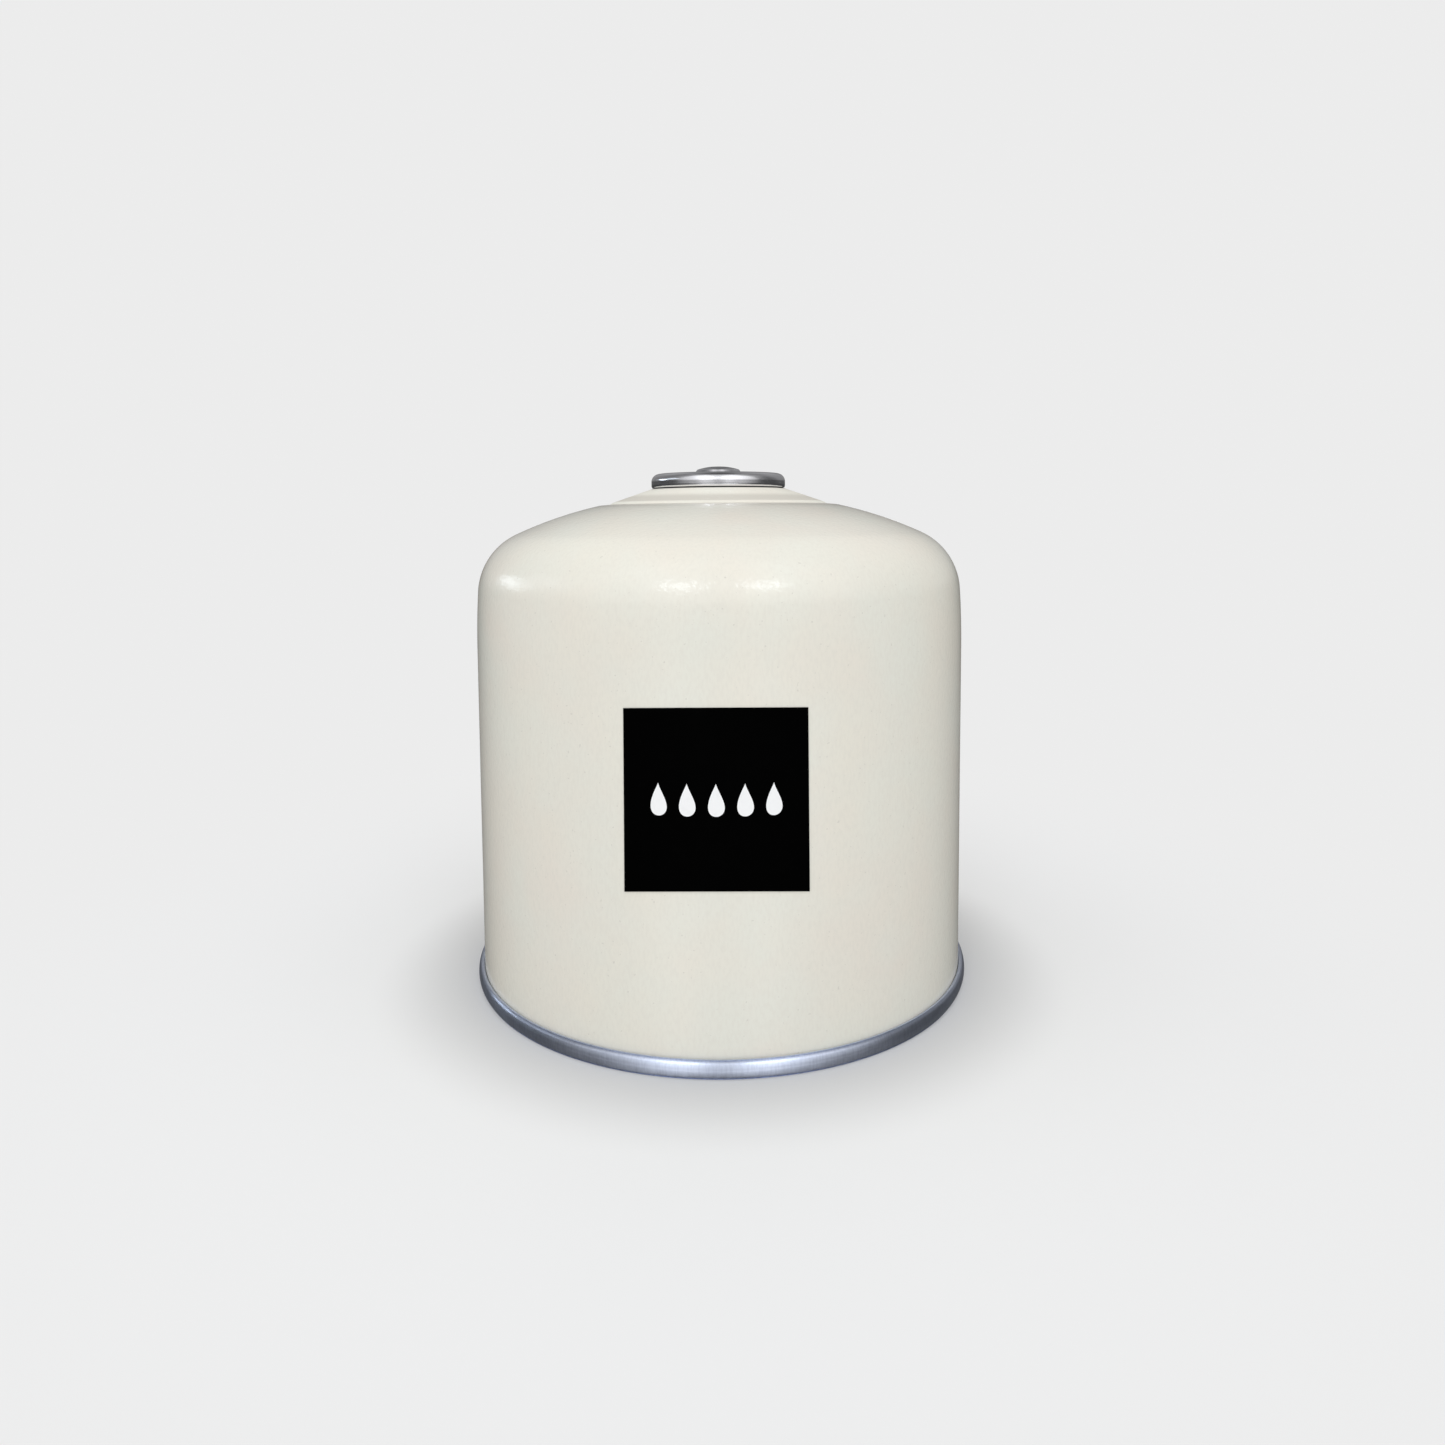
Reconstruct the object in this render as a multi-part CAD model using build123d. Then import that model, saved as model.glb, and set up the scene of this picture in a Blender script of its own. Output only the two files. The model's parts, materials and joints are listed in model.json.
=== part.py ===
from build123d import *
import os
from math import cos, pi, radians, sin

# A self-sealing, valve-type gas cartridge: a pressed steel can with a crimped valve.
# Everything is in mm, with the foot on Z = 0 and the axis of the can on Z.

# ---- driving sizes ----
SEAM_R = 55.0              # outside of the rolled seam at the foot
SEAM_HEIGHT = 3.6
TOTAL_HEIGHT = 112.6       # foot to the top of the valve's boss
SHEET = 0.40               # steel of the shell and the base
CUP_SHEET = 0.35           # tinplate of the valve cup
SEAL_GAP = 0.05            # room left between the layers of a seam

# ---- the rolled seam: five layers, one lap apart ----
LAP = SHEET + SEAL_GAP
WALL_R = SEAM_R - SHEET / 2 - 3 * LAP      # middle of the shell's wall
FOLD = LAP                                 # each hook is folded back over one lap
FOOT_BEND = 0.5                            # corners of the flat the can stands on
SHELL_FOLD_Z = SHEET + SEAL_GAP + FOLD + SHEET / 2
BASE_FOLD_Z = SEAM_HEIGHT - FOLD - SHEET / 2
SHELL_HOOK_Z = 2.5                         # tip of the shell's hook
BASE_HOOK_Z = 1.15                         # tip of the base's hook
COMPOUND_CHAMFER = 0.12                    # the sealing ring's upper edges

# ---- the base plate, domed up into the can ----
CHUCK_HEIGHT = 3.8         # straight part of the plate's rim
PANEL_BEND = 1.2
PANEL_SLOPE = 26           # degrees, where the dome meets its rim

# ---- the shell's shoulder, by its outer surface ----
SHOULDER_Z = 73.15         # where the wall starts to lean in
TAPER_R, TAPER_TURN = 190.0, 3.8
KNUCKLE_R, KNUCKLE_TURN = 14.4, 61.4
CROWN_R, CROWN_TURN = 90.0, 12.0
SHELF_SLOPE = 5.2          # degrees, the nearly level shelf round the cone
SHELF_BEND = 6.0
SHELF_WIDTH = 1.1
RISER_BEND, RISER_TURN = 1.3, 24           # the small step at the foot of the cone
CONE_SLOPE = 18.9          # degrees

# ---- the crimp between the shell's neck and the valve cup ----
RIM_R = 15.0               # outside of the cup's skirt
SKIRT_Z = 107.9            # lower edge of the skirt
BEAD_Z = 109.25            # centre of the shell's bead and of the cup's rim
NECK_R = 12.65             # middle of the neck
NECK_BEND = 0.8            # between the cone and the neck
BEAD_BEND, BEAD_TURN = 0.6, 235
BEAD_R = NECK_R + BEAD_BEND
RIM_BEND = RIM_R - CUP_SHEET / 2 - BEAD_R
CUP_GASKET = 0.5
GASKET_LEG = 0.2           # how far the gasket reaches down each side of the bead

# ---- the rest of the cup ----
CLINCH_BEND, CLINCH_TURN = 1.3, 48         # the bulge that grips under the neck
FLOOR_BEND = 1.2           # between the cup's wall and its floor
FLOOR_Z = 103.95                           # middle of the cup's floor
BOSS_R = 5.4                               # outside of the boss
BOSS_FOOT_BEND = 0.8
GROOVE_BEND, GROOVE_TURN = 0.55, 60        # the crimp that holds the valve
GROOVE_Z = 106.35                          # lower end of that crimp
BOSS_BEND, BOSS_TURN = 1.4, 65
BOSS_TOP_R, BOSS_TOP_TURN = 10.45, 14

# ---- the valve ----
SEAT_Z = 110.8             # underside of the gasket, where the plunger seals
PIN_R = 1.5                # the appliance's pin goes through the gasket
GASKET_R = 4.15
SHOULDER_R = 4.8           # the housing's shoulder, above the crimp
SHOULDER_FOOT_Z = 108.0
HOUSING_R = 4.2
HOUSING_Z = 98.0
BORE_R = 2.9
BORE_FLOOR_Z = 100.0
TAIL_R = 1.8
TAIL_Z = 94.0
INLET_R = 0.6
SLOT_WIDTH, SLOT_HEIGHT = 1.0, 3.0
SLOT_Z = BORE_FLOOR_Z + 2.5                # middle of the housing's side slots
RUNNING_GAP = 0.05
HEAD_R = 2.4
HEAD_Z = 109.3
RIB_WIDTH = 0.8
RIB_STEP = 0.2             # the guide ribs stop short of both faces of the head
STEM_R = 1.2
STEM_Z = 103.5
STEM_CHAMFER = 0.3
WIRE_R = 0.25
COIL_R = 2.0
COILS = 6

# ---- the label ----
LABEL_WIDTH = 33.6         # round the can
LABEL_HEIGHT = 33.2
LABEL_Z = 51.2
LABEL_THICKNESS = 0.12
GLUE = 0.03


class Sheet:
    """A pressed sheet, drawn by its middle line: straights and bends, each tangent to the last.

    The line is drawn with x as the radius and y as the height. A positive turn bends to the left.
    """

    def __init__(self, r, z, heading, thickness):
        self.at = Vector(r, z)
        self.heading = heading
        self.half = thickness / 2
        self.left = []
        self.right = []

    def along(self):
        return Vector(cos(radians(self.heading)), sin(radians(self.heading)))

    def side(self, shift):
        """The point beside the line's end, shift to its left."""
        return self.at + Vector(-self.along().Y, self.along().X) * shift

    def straight(self, length):
        step = self.along() * length
        for edges, shift in ((self.left, self.half), (self.right, -self.half)):
            start = self.side(shift)
            edges.append(Line(start, start + step))
        self.at += step
        return self

    def to_height(self, z):
        return self.straight((z - self.at.Y) / self.along().Y)

    def to_radius(self, r):
        return self.straight((r - self.at.X) / self.along().X)

    def bend(self, radius, turn):
        inward = 1 if turn > 0 else -1
        for edges, shift in ((self.left, self.half), (self.right, -self.half)):
            edges.append(JernArc(self.side(shift), self.along(), radius - inward * shift, turn))
        self.at = self.side(inward * radius)
        self.heading += turn
        self.at = self.side(-inward * radius)
        return self

    def wave(self, radius, turn):
        """A bulge to the left that ends in line with where it began."""
        return self.bend(radius, turn).bend(radius, -2 * turn).bend(radius, turn)

    def revolved(self):
        ends = [Line(self.left[i] @ t, self.right[i] @ t) for i, t in ((0, 0), (-1, 1))]
        section = make_face(self.left + self.right + ends)
        return revolve(Plane.XZ * section, Axis.Z)


def disc(radius, low, high):
    """A solid cylinder on the axis, between two heights."""
    return Pos(0, 0, low) * Cylinder(radius, high - low, align=(Align.CENTER, Align.CENTER, Align.MIN))


def body_shell():
    """The deep-drawn can: seam hook, wall, shoulder, shelf, cone, and the bead round its mouth."""
    half = SHEET / 2
    shell = Sheet(WALL_R + 2 * LAP, SHELL_HOOK_Z, -90, SHEET)
    shell.to_height(SHELL_FOLD_Z).bend(FOLD, -180)
    shell.to_height(SHOULDER_Z)
    shell.bend(TAPER_R - half, TAPER_TURN)
    shell.bend(KNUCKLE_R - half, KNUCKLE_TURN)
    shell.bend(CROWN_R - half, CROWN_TURN)
    shell.bend(SHELF_BEND, 90 - SHELF_SLOPE - TAPER_TURN - KNUCKLE_TURN - CROWN_TURN)
    shell.straight(SHELF_WIDTH)
    shell.bend(RISER_BEND, -RISER_TURN)
    shell.bend(RISER_BEND, RISER_TURN + SHELF_SLOPE - CONE_SLOPE)
    shell.to_radius(NECK_R + NECK_BEND * (1 - sin(radians(CONE_SLOPE))))
    shell.bend(NECK_BEND, CONE_SLOPE - 90)
    shell.to_height(BEAD_Z).bend(BEAD_BEND, -BEAD_TURN)
    return shell.revolved()


def base_plate():
    """The pressed base: seam hook, seam wall, the flat it stands on, and the dome."""
    plate = Sheet(WALL_R + LAP, BASE_HOOK_Z, 90, SHEET)
    plate.to_height(BASE_FOLD_Z).bend(FOLD, -180)
    plate.to_height(SHEET / 2 + FOOT_BEND).bend(FOOT_BEND, -90)
    plate.to_radius(WALL_R - LAP + FOOT_BEND).bend(FOOT_BEND, -90)
    plate.to_height(CHUCK_HEIGHT).bend(PANEL_BEND, 90 - PANEL_SLOPE)
    plate.bend(plate.at.X / sin(radians(PANEL_SLOPE)), PANEL_SLOPE)
    return plate.revolved()


def seam_compound():
    """The sealing ring on the tip of the shell's hook, inside the fold of the base."""
    middle = WALL_R + 2 * LAP
    ring = disc(middle + SHEET / 2, SHELL_HOOK_Z, BASE_FOLD_Z) - disc(middle - SHEET / 2, 0, SEAM_HEIGHT)
    return chamfer(ring.edges().group_by(Axis.Z)[-1], COMPOUND_CHAMFER)


def valve_cup():
    """The tinplate cup: skirt, rolled rim, clinched wall, floor, and the boss round the valve."""
    cup = Sheet(RIM_R - CUP_SHEET / 2, SKIRT_Z, 90, CUP_SHEET)
    cup.to_height(BEAD_Z).bend(RIM_BEND, 180)
    cup.straight(BEAD_Z - FLOOR_Z - FLOOR_BEND - 4 * CLINCH_BEND * sin(radians(CLINCH_TURN)))
    cup.wave(CLINCH_BEND, CLINCH_TURN)
    cup.bend(FLOOR_BEND, -90)
    cup.to_radius(BOSS_R - CUP_SHEET / 2 + BOSS_FOOT_BEND).bend(BOSS_FOOT_BEND, -90)
    cup.to_height(GROOVE_Z).wave(GROOVE_BEND, GROOVE_TURN)
    cup.to_height(boss_bend_z()).bend(BOSS_BEND, BOSS_TURN)
    cup.bend(BOSS_TOP_R, BOSS_TOP_TURN)
    return cup.revolved()


def boss_bend_z():
    """Height where the boss starts to round over, counted down from the top of the valve."""
    rise = BOSS_BEND * sin(radians(BOSS_TURN))
    end = radians(90 - BOSS_TURN - BOSS_TOP_TURN)
    rise += BOSS_TOP_R * (cos(end) - cos(radians(90 - BOSS_TURN)))
    return TOTAL_HEIGHT - rise - CUP_SHEET / 2 * cos(end)


def cup_gasket():
    """The sealing ring between the shell's bead and the cup's rim."""
    bend = (BEAD_BEND + SHEET / 2 + RIM_BEND - CUP_SHEET / 2) / 2
    gasket = Sheet(BEAD_R + bend, BEAD_Z - GASKET_LEG, 90, CUP_GASKET)
    gasket.straight(GASKET_LEG).bend(bend, 180).straight(GASKET_LEG)
    return gasket.revolved()


def stem_gasket():
    """The rubber seat under the boss. Its hole takes the appliance's pin."""
    under_top = BOSS_TOP_R - CUP_SHEET / 2 - SEAL_GAP
    centre_z = boss_bend_z() + BOSS_BEND * sin(radians(BOSS_TURN)) - BOSS_TOP_R * sin(radians(BOSS_TURN))
    ring = disc(GASKET_R, SEAT_Z, TOTAL_HEIGHT) & (Pos(0, 0, centre_z) * Sphere(under_top))
    return ring - disc(PIN_R, SEAT_Z, TOTAL_HEIGHT)


def valve_housing():
    """The plastic body of the valve, held by its shoulder, with a gas inlet and two side slots."""
    housing = disc(HOUSING_R, HOUSING_Z, SHOULDER_FOOT_Z) + disc(SHOULDER_R, SHOULDER_FOOT_Z, SEAT_Z)
    housing += disc(TAIL_R, TAIL_Z, HOUSING_Z)
    housing -= disc(BORE_R, BORE_FLOOR_Z, SEAT_Z)
    housing -= disc(INLET_R, TAIL_Z, BORE_FLOOR_Z)
    return housing - Pos(0, 0, SLOT_Z) * Box(3 * HOUSING_R, SLOT_WIDTH, SLOT_HEIGHT)


def valve_plunger():
    """The moving part: a flat head that seals on the gasket, four guide ribs and a stem."""
    guide_r = BORE_R - RUNNING_GAP
    rib_z = (HEAD_Z + SEAT_Z) / 2
    rib_height = SEAT_Z - HEAD_Z - 2 * RIB_STEP
    ribs = Box(2 * guide_r, RIB_WIDTH, rib_height) + Box(RIB_WIDTH, 2 * guide_r, rib_height)
    ribs = Pos(0, 0, rib_z) * (ribs & Cylinder(guide_r, rib_height))
    stem = chamfer(disc(STEM_R, STEM_Z, HEAD_Z).edges().sort_by(Axis.Z)[0], STEM_CHAMFER)
    return disc(HEAD_R, HEAD_Z, SEAT_Z) + ribs + stem


def valve_spring():
    """The coil spring that holds the plunger shut."""
    height = HEAD_Z - BORE_FLOOR_Z - 2 * WIRE_R
    path = Helix(height / COILS, height, COIL_R)
    wire = sweep(Plane(path @ 0, z_dir=path % 0) * Circle(WIRE_R), path)
    return Pos(0, 0, BORE_FLOOR_Z + WIRE_R) * wire


def label():
    """The square label, wrapped round the front of the can, which faces -Y."""
    inner = WALL_R + SHEET / 2 + GLUE
    angle = LABEL_WIDTH / inner * 180 / pi
    section = Pos(inner + LABEL_THICKNESS / 2, LABEL_Z) * Rectangle(LABEL_THICKNESS, LABEL_HEIGHT)
    return Rot(0, 0, -90 - angle / 2) * revolve(Plane.XZ * section, Axis.Z, angle)


NODES = {
    "body_shell": body_shell,
    "base_plate": base_plate,
    "seam_compound": seam_compound,
    "valve_cup": valve_cup,
    "cup_gasket": cup_gasket,
    "stem_gasket": stem_gasket,
    "valve_housing": valve_housing,
    "valve_plunger": valve_plunger,
    "valve_spring": valve_spring,
    "label": label,
}

os.makedirs("parts", exist_ok=True)
for node, make in NODES.items():
    export_step(make(), f"parts/{node}.step")
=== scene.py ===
import json
import math

import bmesh
import bpy
from mathutils import Matrix, Vector, noise


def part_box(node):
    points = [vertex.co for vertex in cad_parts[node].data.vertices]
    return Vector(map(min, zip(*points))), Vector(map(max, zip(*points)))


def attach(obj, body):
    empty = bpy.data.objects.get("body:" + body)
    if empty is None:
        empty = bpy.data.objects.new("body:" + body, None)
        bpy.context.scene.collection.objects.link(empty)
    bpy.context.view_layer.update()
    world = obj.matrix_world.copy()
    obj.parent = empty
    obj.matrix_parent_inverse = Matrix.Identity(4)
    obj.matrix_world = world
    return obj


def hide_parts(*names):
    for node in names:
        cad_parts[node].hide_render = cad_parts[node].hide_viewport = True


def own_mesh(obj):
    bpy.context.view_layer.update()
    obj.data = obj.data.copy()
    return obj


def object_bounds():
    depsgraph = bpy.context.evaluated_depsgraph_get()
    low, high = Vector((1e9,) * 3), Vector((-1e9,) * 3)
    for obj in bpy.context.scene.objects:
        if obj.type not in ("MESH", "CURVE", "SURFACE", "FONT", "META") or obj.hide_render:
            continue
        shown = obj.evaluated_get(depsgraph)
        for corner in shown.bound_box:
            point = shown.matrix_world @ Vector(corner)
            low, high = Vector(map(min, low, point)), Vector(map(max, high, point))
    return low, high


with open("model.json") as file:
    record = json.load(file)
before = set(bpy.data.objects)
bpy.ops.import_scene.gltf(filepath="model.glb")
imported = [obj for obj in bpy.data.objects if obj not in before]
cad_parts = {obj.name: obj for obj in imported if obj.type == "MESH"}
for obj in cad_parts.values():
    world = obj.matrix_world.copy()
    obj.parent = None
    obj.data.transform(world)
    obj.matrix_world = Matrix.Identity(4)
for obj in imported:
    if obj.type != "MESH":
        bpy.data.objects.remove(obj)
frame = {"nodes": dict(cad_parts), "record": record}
cad_low, cad_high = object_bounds()

# ---- sizes, in metres ----
MM = 0.001
record = frame["record"]
mounts = {mount["name"]: mount for mount in record["mounts"]}
FOOT_R = record["size"]["bbox_m"][0] / 2
TOP_Z = cad_high.z
RIM_R = mounts["valve_rim"]["dims"]["r_mm"] * MM
PIN_R = mounts["pin_socket"]["dims"]["r_mm"] * MM
SEAT_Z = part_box("stem_gasket")[0].z
LABEL_LOW, LABEL_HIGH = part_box("label")

TURNS = 288                       # faces round the can

# The pressings, with turns and slopes in degrees. They are as the CAD model has them, but for a slightly
# narrower and steeper cone, a taller riser at its foot and a crisper boss.
SHEET = 0.40 * MM
CUP_SHEET = 0.35 * MM
LAP = 0.45 * MM                   # from one layer of the rolled seam to the next
WALL_R = FOOT_R - SHEET / 2 - 3 * LAP
SEAM_HEIGHT = 3.6 * MM
SHELL_HOOK_Z, SHELL_FOLD_Z = 2.5 * MM, 1.10 * MM
BASE_HOOK_Z, BASE_FOLD_Z = 1.15 * MM, 2.95 * MM
FOOT_BEND = 0.5 * MM
CHUCK_HEIGHT = 3.8 * MM           # straight part of the base's rim
PANEL_BEND, PANEL_SLOPE = 1.2 * MM, 26
SHOULDER_Z = 73.15 * MM
TAPER_R, TAPER_TURN = 190 * MM, 3.8
KNUCKLE_R, KNUCKLE_TURN = 14.4 * MM, 61.4
CROWN_R, CROWN_TURN = 90 * MM, 12
SHELF_SLOPE, SHELF_BEND, SHELF_WIDTH = 5.2, 6 * MM, 1.8 * MM
RISER_BEND, RISER_TURN = 1.1 * MM, 37
CONE_SLOPE = 19.0
NECK_R, NECK_BEND = 12.65 * MM, 0.8 * MM
BEAD_Z, BEAD_BEND, BEAD_TURN = 109.25 * MM, 0.6 * MM, 235
SKIRT_Z = 107.9 * MM
CLINCH_BEND, CLINCH_TURN = 1.3 * MM, 48
FLOOR_Z, FLOOR_BEND = 103.95 * MM, 1.2 * MM
BOSS_R, BOSS_FOOT_BEND = 5.4 * MM, 0.8 * MM
GROOVE_Z, GROOVE_BEND, GROOVE_TURN = 106.35 * MM, 0.55 * MM, 60
FLANK_BEND, FLANK_TURN, FLANK_LENGTH = 0.4 * MM, 32, 0.90 * MM
BOSS_BEND, BOSS_TURN = 0.35 * MM, 41
BOSS_TOP_R, BOSS_TOP_SLOPE = 14.8 * MM, 17
WIRE_R = 0.25 * MM
GASKET_R = 4.1 * MM
LABEL_THICKNESS = 0.12 * MM
INK_THICKNESS = 0.012 * MM
FLAME_HEIGHT, FLAME_STEP = 6.0 * MM, 5.2 * MM


# ---- camera ----

EYE_R, EYE_Z = 233.8 * MM, 101.2 * MM       # how far from the can's axis, and how high
EYE_AZIMUTH, EYE_TILT, EYE_ROLL = 0.84, 4.30, -0.41         # degrees
LENS, SENSOR = 25.73, 36                    # the camera's own millimetres
LENS_SHIFT = (0.0024, -0.0880)              # as shares of the picture's width


def make_camera():
    """A short lens close to the can, a little lower than its top and tilted slightly down."""
    azimuth, tilt, roll = (math.radians(angle) for angle in (EYE_AZIMUTH, EYE_TILT, EYE_ROLL))
    data = bpy.data.cameras.new("camera")
    data.sensor_width = SENSOR
    data.lens = LENS
    data.shift_x, data.shift_y = LENS_SHIFT
    data.clip_start = 0.01
    camera = bpy.data.objects.new("camera", data)
    bpy.context.scene.collection.objects.link(camera)
    place = Vector((EYE_R * math.sin(azimuth), -EYE_R * math.cos(azimuth), EYE_Z))
    turn = Matrix.Rotation(azimuth, 4, "Z") @ Matrix.Rotation(math.pi / 2 - tilt, 4, "X")
    camera.matrix_world = Matrix.Translation(place) @ turn @ Matrix.Rotation(roll, 4, "Z")
    bpy.context.scene.camera = camera


# ---- stage and light ----

BACKDROP = 0.840                  # linear grey of the plain surround
FLOOR_GLOW = 0.15                 # lifts the lit floor to the surround's grey
FLOOR_R = 3.0
FLOOR_DROP = 0.02 * MM            # keeps the floor just clear of the foot
FLOOR_FADE = (0.07, 0.20)         # how far out it starts to fade into the surround and has faded
# a shadow painted on the floor round the foot, seen only by the camera
FOOT_SHADE = 0.46                 # grey of the floor beside the foot
FOOT_SHADE_WIDTH = 24 * MM


def make_floor():
    """A wide pale disc with a shadow painted round the foot, that fades into the surround so that no
    horizon shows.
    """
    bm = bmesh.new()
    bmesh.ops.create_circle(bm, cap_ends=True, segments=128, radius=FLOOR_R)
    floor = add_mesh("floor", bm)
    floor.location.z = -FLOOR_DROP
    floor.visible_glossy = False
    paint = Finish("floor_pale", (0.65, 0.65, 0.65), roughness=0.9)
    shader = paint.shader
    shader.inputs["Specular IOR Level"].default_value = 0.0
    shader.inputs["Emission Color"].default_value = (1, 1, 1, 1)
    seen = paint.nodes.new("ShaderNodeLightPath").outputs["Is Camera Ray"]
    paint.links.new(paint.levels(seen, 0, 1, 0, FLOOR_GLOW), shader.inputs["Emission Strength"])
    glow = paint.nodes.new("ShaderNodeEmission")
    glow.inputs["Color"].default_value = (BACKDROP, BACKDROP, BACKDROP, 1)
    out = paint.axis_distance()
    # painted shadow round the foot, for camera rays only
    near = paint.levels(out, FOOT_R, FOOT_R + FOOT_SHADE_WIDTH, 1, 0)
    paint.tint(paint.combine("MULTIPLY", near, seen), (FOOT_SHADE, FOOT_SHADE, FOOT_SHADE))
    mix = paint.nodes.new("ShaderNodeMixShader")
    paint.links.new(paint.levels(out, *FLOOR_FADE, 0, 1), mix.inputs["Fac"])
    paint.links.new(shader.outputs["BSDF"], mix.inputs[1])
    paint.links.new(glow.outputs["Emission"], mix.inputs[2])
    paint.links.new(mix.outputs["Shader"], paint.nodes["Material Output"].inputs["Surface"])
    floor.data.materials.append(paint.material)


# Light levels by direction, as pairs of a place from -1 to 1 and the level there. Depth runs from front to
# back, height from below to above and side from left to right. The soft light falls on the object. The
# glossy light is what its reflections see: a sky by depth and height, mixed with a ground by depth as the
# ground's share by height says, and all of it scaled by side.
SOFT_BY_DEPTH = ((-1.0, 0.85), (1.0, 0.40))
SOFT_BY_HEIGHT = ((-1.0, 0.95), (0.35, 0.95), (1.0, 2.12))
GLOSSY_BY_DEPTH = ((-1.0, 1.40), (-0.42, 1.25), (-0.20, 0.48), (0.15, 0.30), (0.55, 0.34), (1.0, 0.22))
GLOSSY_BY_HEIGHT = ((-1.0, 0.10), (-0.02, 0.10), (0.12, 1.00), (0.62, 1.00), (0.90, 0.72), (1.0, 0.30))
GLOSSY_GROUND = ((-1.0, 1.10), (-0.86, 1.0), (-0.72, 0.50), (-0.45, 0.22), (0.30, 0.13), (1.0, 0.09))
GLOSSY_BY_SIDE = (
    (-1.0, 0.38), (-0.70, 0.68), (-0.32, 1.25), (0.02, 0.72), (0.30, 1.25), (0.65, 0.88), (1.0, 0.42),
)
GROUND_SHARE = ((-1.0, 1.0), (-0.20, 1.0), (-0.04, 0.0), (1.0, 0.0))
GLOSSY_LEAST = 0.06               # no reflection is darker


def make_world():
    """Soft light, strongest from the front and above. Reflections see a dark horizon and dim sides."""
    world = bpy.data.worlds.new("studio")
    bpy.context.scene.world = world
    world.use_nodes = True
    nodes, links = world.node_tree.nodes, world.node_tree.links
    background = nodes["Background"]
    direction = nodes.new("ShaderNodeTexCoord").outputs["Generated"]
    split = nodes.new("ShaderNodeSeparateXYZ")
    links.new(direction, split.inputs["Vector"])
    path = nodes.new("ShaderNodeLightPath")

    def ramp(value, stops):
        """Levels at a few places of the value, which runs from -1 to 1, joined smoothly."""
        place = nodes.new("ShaderNodeMapRange")
        place.inputs["From Min"].default_value = -1
        links.new(value, place.inputs["Value"])
        node = nodes.new("ShaderNodeValToRGB")
        node.color_ramp.interpolation = "EASE"
        while len(node.color_ramp.elements) < len(stops):
            node.color_ramp.elements.new(0.5)
        for element, (at, level) in zip(node.color_ramp.elements, stops):
            element.position = (at + 1) / 2
            element.color = (level, level, level, 1)
        links.new(place.outputs["Result"], node.inputs["Fac"])
        return node.outputs["Color"]

    def combine(kind, factor, a, b):
        """Two colours blended in the given way. The factor and the colours are sockets or constants."""
        node = nodes.new("ShaderNodeMix")
        node.data_type = "RGBA"
        node.blend_type = kind
        for socket, value in zip(("Factor", "A", "B"), (factor, a, b)):
            if isinstance(value, (float, tuple)):
                node.inputs[socket].default_value = value
            else:
                links.new(value, node.inputs[socket])
        return node.outputs["Result"]

    depth, height = split.outputs["Y"], split.outputs["Z"]
    soft = combine("MULTIPLY", 1.0, ramp(depth, SOFT_BY_DEPTH), ramp(height, SOFT_BY_HEIGHT))
    sky = combine("MULTIPLY", 1.0, ramp(depth, GLOSSY_BY_DEPTH), ramp(height, GLOSSY_BY_HEIGHT))
    glossy = combine("MIX", ramp(height, GROUND_SHARE), sky, ramp(depth, GLOSSY_GROUND))
    glossy = combine("MULTIPLY", 1.0, glossy, ramp(split.outputs["X"], GLOSSY_BY_SIDE))
    glossy = combine("LIGHTEN", 1.0, glossy, (GLOSSY_LEAST, GLOSSY_LEAST, GLOSSY_LEAST, 1))
    light = combine("MIX", path.outputs["Is Glossy Ray"], soft, glossy)
    light = combine("MIX", path.outputs["Is Camera Ray"], light, (BACKDROP, BACKDROP, BACKDROP, 1))
    links.new(light, background.inputs["Color"])


LAMP_COLOR = (0.84, 0.92, 1.0)    # slightly bluish
LAMP_DISTANCE = 1.2
LAMP_AIM_Z = 90 * MM


def softbox(name, azimuth, elevation, width, height, power):
    """An oval area light aimed at the can's shoulder. Azimuth 0 is in front and 90 to the right."""
    data = bpy.data.lights.new(name, "AREA")
    data.shape = "ELLIPSE"
    data.size, data.size_y = width, height
    data.energy = power
    data.color = LAMP_COLOR
    light = bpy.data.objects.new(name, data)
    bpy.context.scene.collection.objects.link(light)
    a, e = math.radians(azimuth), math.radians(elevation)
    away = Vector((math.sin(a) * math.cos(e), -math.cos(a) * math.cos(e), math.sin(e)))
    light.location = Vector((0, 0, LAMP_AIM_Z)) + away * LAMP_DISTANCE
    light.rotation_mode = "QUATERNION"
    light.rotation_quaternion = away.to_track_quat("Z", "Y")


def make_lights():
    """Two lamps in front and two at the left, with their angles, width, height and power in watts."""
    softbox("front_left", -17.8, 30, 0.36, 0.21, 1.22)
    softbox("front_right", 22.4, 30, 0.40, 0.21, 1.22)
    softbox("side_left", -109, 12, 0.50, 0.18, 0.66)
    softbox("side_wing", -86, 20, 0.60, 0.30, 0.40)


# ---- materials ----

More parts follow.
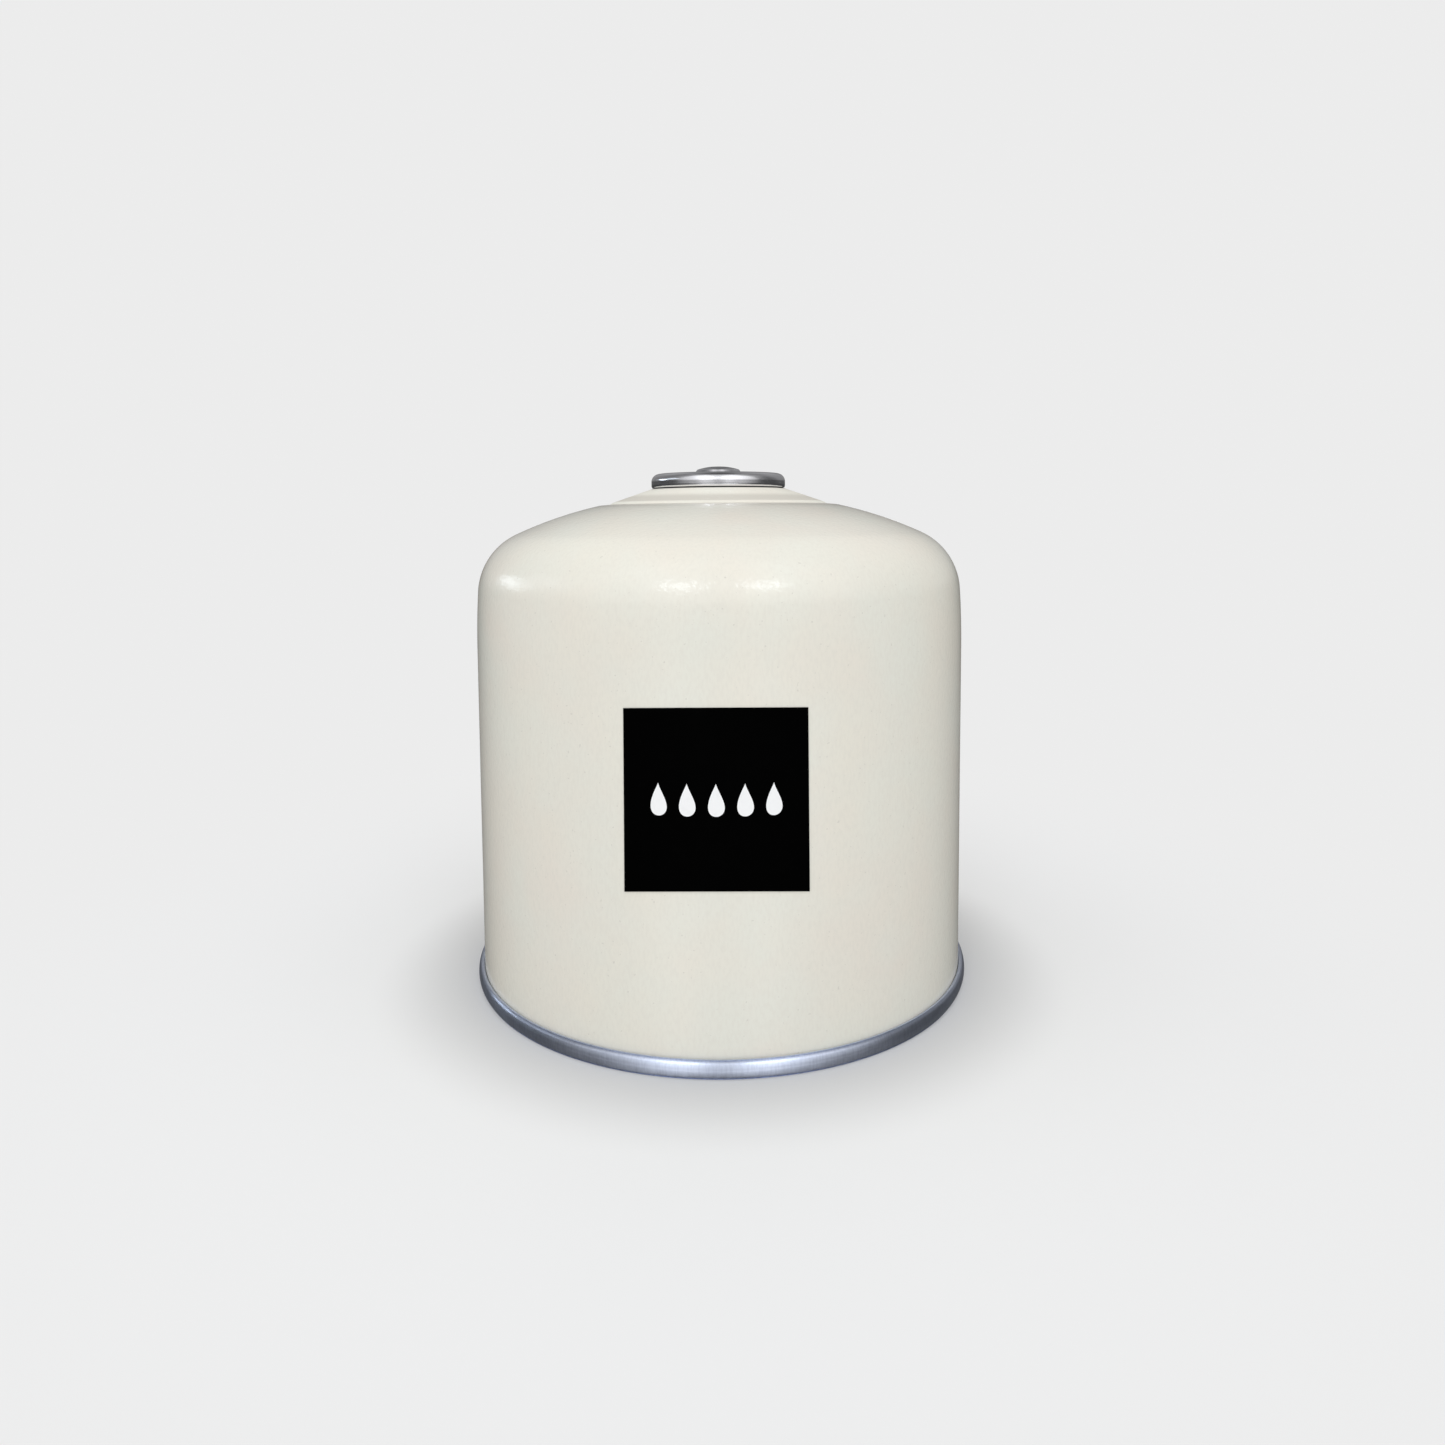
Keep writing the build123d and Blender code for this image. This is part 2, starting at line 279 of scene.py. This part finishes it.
class Finish:
    """A material: one Principled shader and the layers of procedural detail that feed it."""

    def __init__(self, name, color, roughness, metallic=0.0):
        self.material = bpy.data.materials.new(name)
        self.material.use_nodes = True
        self.nodes = self.material.node_tree.nodes
        self.links = self.material.node_tree.links
        self.shader = self.nodes["Principled BSDF"]
        self.shader.inputs["Base Color"].default_value = (*color, 1)
        self.shader.inputs["Metallic"].default_value = metallic
        self.shader.inputs["Roughness"].default_value = roughness
        self.coords = self.nodes.new("ShaderNodeTexCoord").outputs["Object"]

    def noise(self, size, stretch=(1, 1, 1), detail=2.0):
        """Noise with features about size across, made longer along an axis by its stretch."""
        mapping = self.nodes.new("ShaderNodeMapping")
        mapping.inputs["Scale"].default_value = [1 / (size * s) for s in stretch]
        self.links.new(self.coords, mapping.inputs["Vector"])
        texture = self.nodes.new("ShaderNodeTexNoise")
        texture.inputs["Scale"].default_value = 1
        texture.inputs["Detail"].default_value = detail
        self.links.new(mapping.outputs["Vector"], texture.inputs["Vector"])
        return texture.outputs["Fac"]

    def levels(self, value, low, high, to_low, to_high):
        """The value, with the stretch from low to high spread smoothly over to_low to to_high."""
        node = self.nodes.new("ShaderNodeMapRange")
        node.interpolation_type = "SMOOTHSTEP"
        node.inputs["From Min"].default_value = low
        node.inputs["From Max"].default_value = high
        node.inputs["To Min"].default_value = to_low
        node.inputs["To Max"].default_value = to_high
        self.links.new(value, node.inputs["Value"])
        return node.outputs["Result"]

    def combine(self, operation, a, b):
        """Two values added, multiplied and so on, as the operation says."""
        node = self.nodes.new("ShaderNodeMath")
        node.operation = operation
        self.links.new(a, node.inputs[0])
        self.links.new(b, node.inputs[1])
        return node.outputs["Value"]

    def band(self, value, start, full, fade, end):
        """1 where the value is between full and fade, falling smoothly to 0 at start and at end."""
        rising = self.levels(value, start, full, 0, 1)
        falling = self.levels(value, fade, end, 1, 0)
        return self.combine("MULTIPLY", rising, falling)

    def axis_distance(self):
        """How far a point is from the can's axis."""
        flat = self.nodes.new("ShaderNodeVectorMath")
        flat.operation = "MULTIPLY"
        flat.inputs[1].default_value = (1, 1, 0)
        self.links.new(self.coords, flat.inputs[0])
        length = self.nodes.new("ShaderNodeVectorMath")
        length.operation = "LENGTH"
        self.links.new(flat.outputs["Vector"], length.inputs[0])
        return length.outputs["Value"]

    def tint(self, amount, color):
        """Mixes a colour over the base colour where amount is high."""
        node = self.nodes.new("ShaderNodeMix")
        node.data_type = "RGBA"
        base = self.shader.inputs["Base Color"]
        if base.is_linked:
            self.links.new(base.links[0].from_socket, node.inputs["A"])
        else:
            node.inputs["A"].default_value = base.default_value
        node.inputs["B"].default_value = (*color, 1)
        self.links.new(amount, node.inputs["Factor"])
        self.links.new(node.outputs["Result"], base)

    def roughen(self, value, smooth, rough):
        """Runs the roughness from smooth, where the value is low, to rough, where it is high."""
        self.links.new(self.levels(value, 0.3, 0.7, smooth, rough), self.shader.inputs["Roughness"])

    def bump(self, height, depth, socket="Normal"):
        """Raises the surface, or its clear coat, by up to depth metres where height is high."""
        node = self.nodes.new("ShaderNodeBump")
        node.inputs["Strength"].default_value = 1.0
        node.inputs["Distance"].default_value = depth
        self.links.new(height, node.inputs["Height"])
        normal = self.shader.inputs[socket]
        if normal.is_linked:
            self.links.new(normal.links[0].from_socket, node.inputs["Normal"])
        self.links.new(node.outputs["Normal"], normal)

    def brush(self, amount, turn):
        """Stretches reflections along the tangent round the can, or up and down at a quarter turn."""
        self.shader.inputs["Anisotropic"].default_value = amount
        self.shader.inputs["Anisotropic Rotation"].default_value = turn
        tangent = self.nodes.new("ShaderNodeTangent")
        tangent.direction_type = "RADIAL"
        tangent.axis = "Z"
        self.links.new(tangent.outputs["Tangent"], self.shader.inputs["Tangent"])


# Painted shade, grime and wear on the can, by distance out from the groove at the cone's foot. Each
# stretch of painted shade has the place where it starts, is full, starts to fade and ends.
# painted shade in the groove at the cone's foot, fading out over the shoulder
GROOVE_SHADE = (-0.15 * MM, 0.10 * MM, 0.5 * MM, 6.0 * MM)
# painted shade on the cone's lower part, next to the groove
CONE_SHADE = (-6.5 * MM, -3.5 * MM, -1.4 * MM, -1.0 * MM)
# painted shade, with some grime, in the crevice round the cup's rim
RIM_SHADE_AND_GRIME_WIDTH = 0.30 * MM        # round the cup's rim
WORN_EDGE = 3.0 * MM              # over which the worn cone gives way to the glossy shoulder
WORN_ROUGHNESS = 0.30             # added on the cone
WORN_COAT, FULL_COAT = 0.05, 0.60


def enamel(groove_r):
    """Glossy cream enamel with orange peel, blotches, specks, painted shade and grime, worn dull on the
    cone.
    """
    paint = Finish("enamel_cream", (0.80, 0.765, 0.672), roughness=0.26)
    paint.shader.inputs["Specular IOR Level"].default_value = 0.18
    paint.shader.inputs["Coat Roughness"].default_value = 0.10
    paint.tint(paint.levels(paint.noise(30 * MM, detail=3), 0.25, 0.75, 0, 0.9), (0.795, 0.738, 0.657))
    paint.tint(paint.levels(paint.noise(17 * MM, detail=3), 0.25, 0.75, 0, 0.8), (0.772, 0.775, 0.698))
    streaks = paint.noise(0.5 * MM, stretch=(1, 1, 2.5))
    paint.tint(paint.levels(streaks, 0.35, 0.75, 0, 0.35), (0.72, 0.69, 0.615))
    paint.tint(paint.levels(paint.noise(0.45 * MM, detail=0), 0.80, 0.84, 0, 0.35), (0.50, 0.47, 0.42))
    out = paint.axis_distance()
    # painted shade, with some grime, on the neck in the crevice under the cup's rim
    paint.tint(paint.levels(out, RIM_R, RIM_R + RIM_SHADE_AND_GRIME_WIDTH, 1, 0), (0.05, 0.045, 0.04))
    # painted shade in the groove at the cone's foot
    paint.tint(paint.band(out, *(groove_r + place for place in GROOVE_SHADE)), (0.60, 0.57, 0.505))
    # painted shade on the cone's lower part
    paint.tint(paint.band(out, *(groove_r + place for place in CONE_SHADE)), (0.62, 0.59, 0.525))
    paint.roughen(paint.noise(9 * MM, detail=2), 0.24, 0.27)
    roughness = paint.shader.inputs["Roughness"]
    worn = paint.levels(out, groove_r, groove_r + WORN_EDGE, WORN_ROUGHNESS, 0)
    paint.links.new(paint.combine("ADD", worn, roughness.links[0].from_socket), roughness)
    coat = paint.levels(out, groove_r, groove_r + WORN_EDGE, WORN_COAT, FULL_COAT)
    paint.links.new(coat, paint.shader.inputs["Coat Weight"])
    paint.bump(paint.noise(4 * MM, detail=0), 0.004 * MM)
    paint.bump(paint.noise(1.3 * MM, detail=0), 0.0012 * MM)
    paint.bump(paint.noise(0.9 * MM, detail=2), 0.090 * MM, "Coat Normal")
    return paint.material


def seam_steel():
    """Bare tinned steel, bluish, brushed round by the seaming roll, with fine marks across it."""
    steel = Finish("seam_steel", (0.67, 0.73, 0.88), metallic=1.0, roughness=0.34)
    steel.brush(0.85, 0.25)
    steel.tint(steel.levels(steel.noise(5 * MM), 0.40, 0.65, 0, 0.5), (0.61, 0.67, 0.82))
    marks = steel.noise(0.4 * MM, stretch=(1, 1, 8), detail=1)
    steel.tint(steel.levels(marks, 0.40, 0.70, 0, 0.5), (0.54, 0.59, 0.74))
    steel.roughen(steel.noise(1.2 * MM), 0.30, 0.38)
    steel.bump(steel.noise(0.3 * MM, stretch=(1, 1, 10), detail=1), 0.0012 * MM)
    steel.bump(steel.noise(3 * MM), 0.004 * MM)
    return steel.material


def cup_tinplate():
    """Bright tinplate, drawn and lightly handled."""
    tin = Finish("cup_tinplate", (0.80, 0.80, 0.83), metallic=1.0, roughness=0.16)
    tin.brush(0.5, 0.0)
    tin.tint(tin.levels(tin.noise(3 * MM), 0.40, 0.75, 0, 0.4), (0.73, 0.72, 0.77))
    tin.roughen(tin.noise(0.9 * MM), 0.14, 0.19)
    tin.bump(tin.noise(0.3 * MM, stretch=(1, 1, 6), detail=1), 0.0010 * MM)
    tin.bump(tin.noise(1.8 * MM), 0.003 * MM)
    return tin.material


def spring_wire():
    """Drawn stainless wire."""
    wire = Finish("spring_wire", (0.58, 0.58, 0.60), metallic=1.0, roughness=0.30)
    wire.roughen(wire.noise(0.6 * MM), 0.24, 0.40)
    wire.bump(wire.noise(0.2 * MM, detail=1), 0.002 * MM)
    return wire.material


def rubber():
    """Matt black rubber with a faint bloom."""
    black = Finish("seal_rubber", (0.028, 0.028, 0.030), roughness=0.62)
    black.tint(black.levels(black.noise(1.5 * MM), 0.45, 0.70, 0, 0.6), (0.060, 0.060, 0.062))
    black.roughen(black.noise(0.8 * MM), 0.52, 0.75)
    black.bump(black.noise(0.15 * MM, detail=1), 0.004 * MM)
    return black.material


def compound():
    """The dull greenish sealing compound of the rolled seam."""
    green = Finish("seam_compound_grey", (0.10, 0.12, 0.10), roughness=0.75)
    green.tint(green.levels(green.noise(2 * MM), 0.45, 0.70, 0, 0.6), (0.15, 0.17, 0.15))
    green.roughen(green.noise(0.8 * MM), 0.65, 0.85)
    green.bump(green.noise(0.3 * MM), 0.01 * MM)
    return green.material


def acetal(name, color):
    """Natural moulded acetal."""
    plastic = Finish(name, color, roughness=0.42)
    plastic.tint(plastic.levels(plastic.noise(4 * MM), 0.45, 0.70, 0, 0.4), tuple(c * 0.93 for c in color))
    plastic.roughen(plastic.noise(1.0 * MM), 0.36, 0.50)
    plastic.bump(plastic.noise(0.2 * MM, detail=1), 0.003 * MM)
    return plastic.material


def label_film():
    """Matt black film with a fine tooth and faint rubbing."""
    film = Finish("label_black", (0.0004, 0.0004, 0.0004), roughness=0.5)
    film.shader.inputs["Specular IOR Level"].default_value = 0.01
    film.tint(film.levels(film.noise(9 * MM), 0.50, 0.75, 0, 0.5), (0.0010, 0.0010, 0.0010))
    film.roughen(film.noise(2 * MM), 0.45, 0.60)
    film.bump(film.noise(0.12 * MM, detail=1), 0.0010 * MM)
    return film.material


def print_white():
    """White ink, very slightly uneven."""
    ink = Finish("label_white", (0.90, 0.90, 0.90), roughness=0.5)
    ink.tint(ink.levels(ink.noise(1.5 * MM), 0.50, 0.75, 0, 0.5), (0.84, 0.84, 0.84))
    ink.roughen(ink.noise(1 * MM), 0.42, 0.58)
    ink.bump(ink.noise(0.10 * MM, detail=1), 0.0008 * MM)
    return ink.material


# ---- mesh makers ----

def add_mesh(name, bm, sharp=None):
    """Turns a bmesh into an object, smooth except at edges sharper than the given angle."""
    mesh = bpy.data.meshes.new(name)
    bm.to_mesh(mesh)
    bm.free()
    if sharp is not None:
        mesh.shade_smooth()
        mesh.set_sharp_from_angle(angle=math.radians(sharp))
    piece = bpy.data.objects.new(name, mesh)
    bpy.context.scene.collection.objects.link(piece)
    return piece


class Section:
    """The section of a pressed sheet, drawn along its middle: straights and tangent bends.

    The line is drawn with x as the radius and y as the height. A positive turn bends to the left.
    """

    def __init__(self, r, z, heading, thickness):
        self.at = Vector((r, z))
        self.heading = heading
        self.half = thickness / 2
        self.left = []
        self.right = []
        self.mark()

    def along(self):
        """The unit vector in the line's direction."""
        return Vector((math.cos(math.radians(self.heading)), math.sin(math.radians(self.heading))))

    def beside(self, shift):
        """The point beside the line's end, shift to its left."""
        along = self.along()
        return self.at + Vector((-along.y, along.x)) * shift

    def mark(self):
        """Puts a point on both faces of the sheet, at the line's end."""
        self.left.append(self.beside(self.half))
        self.right.append(self.beside(-self.half))

    def straight(self, length, parts=1):
        for _ in range(parts):
            self.at = self.at + self.along() * (length / parts)
            self.mark()
        return self

    def to_height(self, z, parts=1):
        return self.straight((z - self.at.y) / self.along().y, parts)

    def to_radius(self, r, parts=1):
        return self.straight((r - self.at.x) / self.along().x, parts)

    def bend(self, radius, turn, step):
        """An arc in line with the last stretch, in facets of about step degrees."""
        parts = max(2, round(abs(turn) / step))
        inward = math.copysign(radius, turn)
        for _ in range(parts):
            self.at = self.beside(inward)
            self.heading += turn / parts
            self.at = self.beside(-inward)
            self.mark()
        return self

    def wave(self, radius, turn):
        """A bulge to the left that ends in line with its start."""
        return self.bend(radius, turn, 8).bend(radius, -2 * turn, 8).bend(radius, turn, 8)

    def loop(self):
        """The sheet's whole outline."""
        return self.left + self.right[::-1]


def lathe(name, loop, turns=TURNS, dent=None):
    """A loop of (radius, height) points turned about the axis, each point moved out by dent."""
    bm = bmesh.new()
    rings = []
    for i in range(turns):
        angle = 2 * math.pi * i / turns
        c, s = math.cos(angle), math.sin(angle)
        ring = []
        for r, z in loop:
            out = r + dent(c, s, r, z) if dent else r
            ring.append(bm.verts.new((out * c, out * s, z)))
        rings.append(ring)
    for ring, beyond in zip(rings, rings[1:] + rings[:1]):
        for i in range(len(loop)):
            bm.faces.new((ring[i - 1], ring[i], beyond[i], beyond[i - 1]))
    # A loop that touches the axis has a point there in every ring, and they become one.
    bmesh.ops.remove_doubles(bm, verts=bm.verts, dist=1e-8)
    bmesh.ops.dissolve_degenerate(bm, edges=bm.edges, dist=1e-9)
    bmesh.ops.recalc_face_normals(bm, faces=bm.faces)
    return add_mesh(name, bm, sharp=35)


def wrapped(name, outlines, inner, thickness):
    """Flat slabs, cut into strips and wrapped on the can's front.

    Their outlines have (across, height) points and run clockwise, seen from in front.
    """
    slice_width = 0.6 * MM
    bm = bmesh.new()
    for outline in outlines:
        back = [bm.verts.new((x, 0, z)) for x, z in outline]
        face = [bm.verts.new((x, thickness, z)) for x, z in outline]
        bm.faces.new(back)
        bm.faces.new(face[::-1])
        for i in range(len(outline)):
            bm.faces.new((back[i], back[i - 1], face[i - 1], face[i]))
    reach = max(abs(x) for outline in outlines for x, _ in outline)
    for i in range(-int(reach / slice_width), int(reach / slice_width) + 1):
        everything = list(bm.verts) + list(bm.edges) + list(bm.faces)
        bmesh.ops.bisect_plane(bm, geom=everything, plane_co=(i * slice_width, 0, 0), plane_no=(1, 0, 0))
    for vertex in bm.verts:
        angle, radius = vertex.co.x / inner, inner + vertex.co.y
        vertex.co = Vector((radius * math.sin(angle), -radius * math.cos(angle), vertex.co.z))
    return add_mesh(name, bm, sharp=40)


# ---- pieces ----

def finish_piece(piece, body, material, slot, *nodes):
    """Gives a new piece its material and body, and hides the CAD nodes it stands for. The slot is not
    used.
    """
    piece.data.materials.append(material)
    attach(piece, body)
    if nodes:
        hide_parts(*nodes)


def dress(node, material):
    """Gives a CAD node that stays its finished material."""
    mesh = frame["nodes"][node].data
    mesh.materials.clear()
    mesh.materials.append(material)


def shell_waviness(c, s, r, z):
    """The slow unevenness of a drawn sheet, a few hundredths of a millimetre."""
    slow = noise.noise(Vector((c * 1.3, s * 1.3, z * 14)))
    middling = noise.noise(Vector((c * 4, s * 4, z * 60 + 9)))
    return (0.035 * slow + 0.012 * middling) * MM


def make_shell():
    """The painted can, from the hook in the seam to the bead round its mouth."""
    half = SHEET / 2
    shell = Section(WALL_R + 2 * LAP, SHELL_HOOK_Z, -90, SHEET)
    shell.to_height(SHELL_FOLD_Z).bend(LAP, -180, 15)
    shell.to_height(SHOULDER_Z, 24)
    shell.bend(TAPER_R - half, TAPER_TURN, 0.4)
    shell.bend(KNUCKLE_R - half, KNUCKLE_TURN, 1.5)
    shell.bend(CROWN_R - half, CROWN_TURN, 0.8)
    shell.bend(SHELF_BEND, 90 - SHELF_SLOPE - TAPER_TURN - KNUCKLE_TURN - CROWN_TURN, 2)
    shell.straight(SHELF_WIDTH)
    groove_r = shell.at.x
    shell.bend(RISER_BEND, -RISER_TURN, 3)
    shell.bend(RISER_BEND, RISER_TURN + SHELF_SLOPE - CONE_SLOPE, 3)
    shell.to_radius(NECK_R + NECK_BEND * (1 - math.sin(math.radians(CONE_SLOPE))), 8)
    shell.bend(NECK_BEND, CONE_SLOPE - 90, 6)
    shell.to_height(BEAD_Z).bend(BEAD_BEND, -BEAD_TURN, 12)
    piece = lathe("painted_can", shell.loop(), dent=shell_waviness)
    finish_piece(piece, "canister", enamel(groove_r), "body_paint", "body_shell")


def make_base(material):
    """The base with its rolled seam, from the hook inside the seam to the middle of the dome."""
    plate = Section(WALL_R + LAP, BASE_HOOK_Z, 90, SHEET)
    plate.to_height(BASE_FOLD_Z).bend(LAP, -180, 8)
    plate.to_height(SHEET / 2 + FOOT_BEND, 16).bend(FOOT_BEND, -90, 8)
    plate.to_radius(WALL_R - LAP + FOOT_BEND).bend(FOOT_BEND, -90, 8)
    plate.to_height(CHUCK_HEIGHT, 3).bend(PANEL_BEND, 90 - PANEL_SLOPE, 6)
    plate.bend(plate.at.x / math.sin(math.radians(PANEL_SLOPE)), PANEL_SLOPE, 0.6)
    plate.left[-1].x = plate.right[-1].x = 0
    outside = FOOT_R - 1.2 * LAP
    barrel_mm, line_mm, ripple_mm = 0.50, 0.02, 0.02
    line_height, line_width = 0.55, 0.04    # shares of the seam's height

    def rolled(c, s, r, z):
        """Rounds the seam's outside a little, with one fine roll line above its middle."""
        if r < outside:
            return 0
        height = z / SEAM_HEIGHT
        barrel = -barrel_mm * (2 * height - 1) ** 2
        line = -line_mm * math.exp(-((height - line_height) / line_width) ** 2)
        ripple = ripple_mm * noise.noise(Vector((c * 9, s * 9, z * 300)))
        return (barrel + line + ripple) * MM

    piece = lathe("rolled_base", plate.loop(), dent=rolled)
    finish_piece(piece, "canister", material, "tinned_steel", "base_plate")


def make_cup(material):
    """The valve cup, from the tucked-in edge of its skirt to the hole in its boss."""
    half = CUP_SHEET / 2
    rim_bend = RIM_R - half - NECK_R - BEAD_BEND
    clinch_height = 4 * CLINCH_BEND * math.sin(math.radians(CLINCH_TURN))
    hole_slope = math.degrees(math.asin(PIN_R / BOSS_TOP_R))
    cup = Section(RIM_R - half, SKIRT_Z, 90, CUP_SHEET)
    cup.to_height(BEAD_Z, 10).bend(rim_bend, 180, 4)
    cup.straight(BEAD_Z - FLOOR_Z - FLOOR_BEND - clinch_height, 2)
    cup.wave(CLINCH_BEND, CLINCH_TURN).bend(FLOOR_BEND, -90, 6)
    cup.to_radius(BOSS_R - half + BOSS_FOOT_BEND, 4).bend(BOSS_FOOT_BEND, -90, 6)
    cup.to_height(GROOVE_Z).wave(GROOVE_BEND, GROOVE_TURN)
    cup.to_height(TOP_Z - boss_rise(hole_slope), 3)
    cup.bend(FLANK_BEND, FLANK_TURN, 4).straight(FLANK_LENGTH, 2).bend(BOSS_BEND, BOSS_TURN, 3)
    cup.bend(BOSS_TOP_R, BOSS_TOP_SLOPE - hole_slope, 1)
    tuck_height, tuck_depth = 0.55 * MM, 0.14 * MM
    tuck_z = SKIRT_Z + tuck_height

    def tucked(c, s, r, z):
        """Draws the skirt's lower edge in, under the shell's bead."""
        if z > tuck_z or r < RIM_R - 2 * CUP_SHEET:
            return 0
        return -tuck_depth * ((tuck_z - z) / tuck_height) ** 2

    piece = lathe("tinplate_cup", cup.loop(), turns=256, dent=tucked)
    finish_piece(piece, "canister", material, "tinplate", "valve_cup")


def boss_rise(hole_slope):
    """How far the boss's outer face rises above its upright wall."""
    end = Section(0, 0, 90, CUP_SHEET)
    end.bend(FLANK_BEND, FLANK_TURN, 4).straight(FLANK_LENGTH, 2).bend(BOSS_BEND, BOSS_TURN, 3)
    end.bend(BOSS_TOP_R, BOSS_TOP_SLOPE - hole_slope, 1)
    return end.right[-1].y


def make_spring(material):
    """A coil spring with closed ends."""
    low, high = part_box("valve_spring")
    coil = high.x - WIRE_R
    turns, around, along = 8, 12, 40        # the first and last turns are closed
    points = []
    for i in range(turns * along + 1):
        turn = i / along
        closed = min(turn, 1) + max(0, turn - (turns - 1))
        free = (turn - closed) / (turns - 2)
        lift = closed * 2 * WIRE_R + free * (high.z - low.z - 6 * WIRE_R)
        angle = 2 * math.pi * turn
        points.append(Vector((coil * math.cos(angle), coil * math.sin(angle), low.z + WIRE_R + lift)))
    bm = bmesh.new()
    rings = []
    up = Vector((0, 0, 1))
    for point in points:
        out = Vector((point.x, point.y, 0)).normalized()
        ring = []
        for k in range(around):
            a = 2 * math.pi * k / around
            ring.append(bm.verts.new(point + (out * math.cos(a) + up * math.sin(a)) * WIRE_R))
        rings.append(ring)
    for ring, beyond in zip(rings, rings[1:]):
        for k in range(around):
            bm.faces.new((ring[k - 1], ring[k], beyond[k], beyond[k - 1]))
    bm.faces.new(rings[0])
    bm.faces.new(rings[-1])
    bmesh.ops.recalc_face_normals(bm, faces=bm.faces)
    piece = add_mesh("valve_coil", bm, sharp=60)
    finish_piece(piece, "canister", material, "spring_steel", "valve_spring")
    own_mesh(piece)


def make_gasket(material):
    """The rubber seat close under the boss, with a small chamfer round its pin hole."""
    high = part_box("stem_gasket")[1]
    gap = 0.05 * MM
    dome_r = BOSS_TOP_R - CUP_SHEET / 2 - gap
    dome_z = high.z - math.sqrt(dome_r**2 - PIN_R**2)
    lip = 0.12 * MM
    steps = 12
    loop = [Vector((PIN_R, SEAT_Z)), Vector((GASKET_R, SEAT_Z))]
    for i in range(steps + 1):
        r = GASKET_R + (PIN_R + lip - GASKET_R) * i / steps
        loop.append(Vector((r, dome_z + math.sqrt(dome_r**2 - r**2))))
    loop.append(Vector((PIN_R, high.z - lip)))
    piece = lathe("seat_gasket", loop, turns=128)
    finish_piece(piece, "canister", material, "gasket_rubber", "stem_gasket")


def flame(across, height, steps=48):
    """A plain drop-shaped flame: a point that leans a little, over a round foot."""
    points = []
    for i in range(steps):
        t = 2 * math.pi * i / steps
        taper = math.sin(t / 2) ** 1.6
        x = 0.36 * height * math.sin(t) * taper
        z = -0.5 * height * math.cos(t)
        lean = 0.05 * height * math.sin(math.pi * (0.5 - z / height)) * (z / height)
        points.append((across + x + lean, -z))
    return points


def label_outline(half_width, half_height, middle_z, radius, steps=24):
    """The label's edge, made so that it looks square from in front.

    Its upper and lower edges bow, and its foot is a little wider.
    """
    points = []
    for side, spread in ((-1, 1.016), (1, 1.0)):
        for i in range(steps + 1):
            across = side * spread * half_width * (2 * i / steps - 1)
            farther = radius * (1 - math.cos(across / radius)) / (EYE_R - radius)
            edge_z = middle_z + side * half_height
            points.append((across, side * half_height - (EYE_Z - edge_z) * farther))
    return points


def make_label(film, ink):
    """The wrapped black square, with a row of plain white flames."""
    outer = -LABEL_LOW.y
    inner = outer - LABEL_THICKNESS
    middle_z = (LABEL_LOW.z + LABEL_HIGH.z) / 2
    half_height = (LABEL_HIGH.z - LABEL_LOW.z) / 2
    half_width = inner * math.asin(LABEL_HIGH.x / outer)
    square = label_outline(half_width, half_height, middle_z, inner)
    patch = wrapped("black_label", [square], inner, LABEL_THICKNESS)
    patch.data.transform(Matrix.Translation((0, 0, middle_z)))
    finish_piece(patch, "canister", film, "label_film", "label")
    marks = [flame(place * FLAME_STEP, FLAME_HEIGHT) for place in (-2, -1, 0, 1, 2)]
    mark = wrapped("label_mark", marks, outer, INK_THICKNESS)
    mark.data.transform(Matrix.Translation((0, 0, middle_z)))
    finish_piece(mark, "canister", ink, "label_film")


make_camera()
make_floor()
make_world()
make_lights()

make_shell()
make_base(seam_steel())
make_cup(cup_tinplate())
make_spring(spring_wire())
seal = rubber()
make_gasket(seal)
make_label(label_film(), print_white())
dress("cup_gasket", seal)
dress("seam_compound", compound())
dress("valve_housing", acetal("housing_acetal", (0.78, 0.77, 0.73)))
dress("valve_plunger", acetal("plunger_acetal", (0.70, 0.69, 0.66)))

bpy.context.scene.view_settings.view_transform = "Standard"
bpy.context.view_layer.update()
